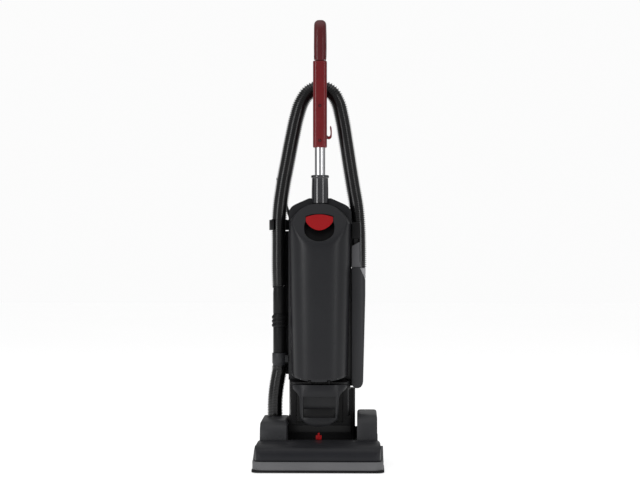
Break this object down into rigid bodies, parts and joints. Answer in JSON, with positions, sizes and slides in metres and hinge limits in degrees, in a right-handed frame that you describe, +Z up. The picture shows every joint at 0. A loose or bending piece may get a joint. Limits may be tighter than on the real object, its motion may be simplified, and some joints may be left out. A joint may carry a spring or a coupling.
{
  "type": "upright vacuum cleaner",
  "caption": "Upright bagged vacuum cleaner with a wide brush base, a domed front door, a stretch hose looped over the handle and a loop grip.",
  "frame": {"origin": "on the floor under the middle of the base", "axes": "+Z up, front towards -Y, +X to the right seen from the front"},
  "size_m": [0.345, 0.35, 1.21],
  "materials": {
    "black_plastic": "black moulded plastic with a fine texture",
    "satin_plastic": "dark grey satin plastic",
    "slate_plastic": "dark blue-grey moulded plastic",
    "grey_plastic": "mid grey moulded plastic",
    "gloss_black": "polished dark plastic",
    "red_plastic": "glossy deep red plastic",
    "grip_plastic": "dark red plastic with a soft sheen",
    "bumper_rubber": "grey rubber bumper",
    "black_rubber": "black rubber",
    "wheel_rubber": "dark rubber tread",
    "hose_plastic": "black ribbed hose plastic",
    "chrome_tube": "polished chrome tube",
    "steel": "plain steel",
    "aluminium": "cast aluminium",
    "brush_wood": "varnished wooden roll with dark bristles",
    "filter_paper": "pleated filter paper",
    "bag_paper": "paper dust bag"
  },
  "bodies": {
    "base": {"base_frame": "black_plastic", "sole_plate": "steel", "hood": "satin_plastic", "bumper": "bumper_rubber", "floor_strip": "black_rubber", "left_housing": "slate_plastic", "right_housing": "grey_plastic", "suction_duct": "black_plastic", "pivot_bush_left": "steel", "pivot_bush_right": "steel", "brush_bearing_left": "black_plastic", "brush_bearing_right": "black_plastic", "drive_belt": "black_rubber", "lower_hose": "hose_plastic"},
    "upright": {"motor_housing": "black_plastic", "motor_can": "aluminium", "hepa_filter": "filter_paper", "rear_housing": "black_plastic", "door_seal": "black_rubber", "bag_dock": "black_plastic", "dust_bag": "bag_paper", "door_hinge_pin": "steel", "air_duct": "slate_plastic", "duct_cuff": "grey_plastic", "tool_holder": "grey_plastic", "hose_port": "slate_plastic", "hose_tube": "black_plastic", "ribbed_collar": "black_plastic", "hose_cuff": "black_plastic", "stretch_hose": "hose_plastic", "hose_clip": "black_plastic", "hose_hook": "grey_plastic", "handle_socket": "gloss_black", "handle_tube": "chrome_tube", "handle_sleeve_front": "red_plastic", "handle_sleeve_rear": "red_plastic", "sleeve_screw_upper": "steel", "sleeve_screw_lower": "steel", "handle_loop": "grip_plastic", "hose_saddle": "red_plastic", "lower_cord_hook": "black_plastic", "cord_gland": "black_plastic"},
    "pedal": {"release_pedal": "grey_plastic"},
    "brush": {"brush_roll": "brush_wood"},
    "wheel_left": {"rear_wheel_left": "wheel_rubber"},
    "wheel_right": {"rear_wheel_right": "wheel_rubber"},
    "carriage": {"roller_carriage": "steel"},
    "roller_left": {"front_roller_left": "wheel_rubber"},
    "roller_right": {"front_roller_right": "wheel_rubber"},
    "slider": {"height_slider": "red_plastic"},
    "rotor": {"motor_shaft": "steel", "motor_fan": "aluminium"},
    "door": {"bag_door": "satin_plastic", "latch_pocket": "black_plastic"},
    "latch": {"door_latch": "red_plastic"},
    "cover": {"filter_cover": "satin_plastic", "filter_tab": "satin_plastic"},
    "tool": {"crevice_tool": "black_plastic"},
    "hook": {"cord_hook": "red_plastic"},
    "switch": {"power_switch": "black_plastic"}
  },
  "joints": [
    {"name": "recline", "type": "hinge", "parent": "base", "child": "upright", "pos_m": [0, 0.105, 0.07], "axis": [-1, 0, 0], "range_deg": [0, 75], "deforming": ["lower_hose"]},
    {"name": "brush_spin", "type": "hinge", "parent": "base", "child": "brush", "pos_m": [0, -0.124, 0.031], "axis": [1, 0, 0], "continuous": true},
    {"name": "motor_spin", "type": "hinge", "parent": "upright", "child": "rotor", "pos_m": [0, 0.105, 0.07], "axis": [1, 0, 0], "continuous": true},
    {"name": "wheel_left_spin", "type": "hinge", "parent": "base", "child": "wheel_left", "pos_m": [-0.149, 0.14, 0.035], "axis": [1, 0, 0], "continuous": true},
    {"name": "wheel_right_spin", "type": "hinge", "parent": "base", "child": "wheel_right", "pos_m": [0.149, 0.14, 0.035], "axis": [1, 0, 0], "continuous": true},
    {"name": "carriage_drop", "type": "slide", "parent": "base", "child": "carriage", "axis": [0, 0, -1], "range_m": [-0.003, 0.003]},
    {"name": "height_adjust", "type": "slide", "parent": "base", "child": "slider", "axis": [1, 0, 0], "range_m": [-0.045, 0.045]},
    {"name": "roller_left_spin", "type": "hinge", "parent": "carriage", "child": "roller_left", "pos_m": [-0.06, -0.061, 0.011], "axis": [1, 0, 0], "continuous": true},
    {"name": "roller_right_spin", "type": "hinge", "parent": "carriage", "child": "roller_right", "pos_m": [0.06, -0.061, 0.011], "axis": [1, 0, 0], "continuous": true},
    {"name": "pedal_press", "type": "hinge", "parent": "base", "child": "pedal", "pos_m": [-0.114, 0.153, 0.049], "axis": [-1, 0, 0], "range_deg": [0, 12], "stiffness_Nm_per_rad": 0.6, "springref_deg": -11.46},
    {"name": "door_open", "type": "hinge", "parent": "upright", "child": "door", "pos_m": [0, -0.007, 0.232], "axis": [1, 0, 0], "range_deg": [0, 68]},
    {"name": "latch_press", "type": "slide", "parent": "door", "child": "latch", "axis": [0, 0, -1], "range_m": [0, 0.005], "stiffness_N_per_m": 400, "springref_m": -0.003},
    {"name": "cover_pull", "type": "slide", "parent": "upright", "child": "cover", "axis": [0, -1, 0], "range_m": [0, 0.06]},
    {"name": "tool_lift", "type": "slide", "parent": "upright", "child": "tool", "axis": [0, 0, 1], "range_m": [0, 0.24]},
    {"name": "hook_turn", "type": "hinge", "parent": "upright", "child": "hook", "pos_m": [0.0193, 0.08, 0.885], "axis": [1, 0, 0], "range_deg": [0, 180]},
    {"name": "switch_rock", "type": "hinge", "parent": "upright", "child": "switch", "pos_m": [0, 0.093, 1.068], "axis": [1, 0, 0], "range_deg": [-6, 6]}
  ],
  "couplings": [
    {"joint": "motor_spin", "follows": "brush_spin", "ratio": 2},
    {"joint": "height_adjust", "follows": "carriage_drop", "ratio": 15}
  ]
}
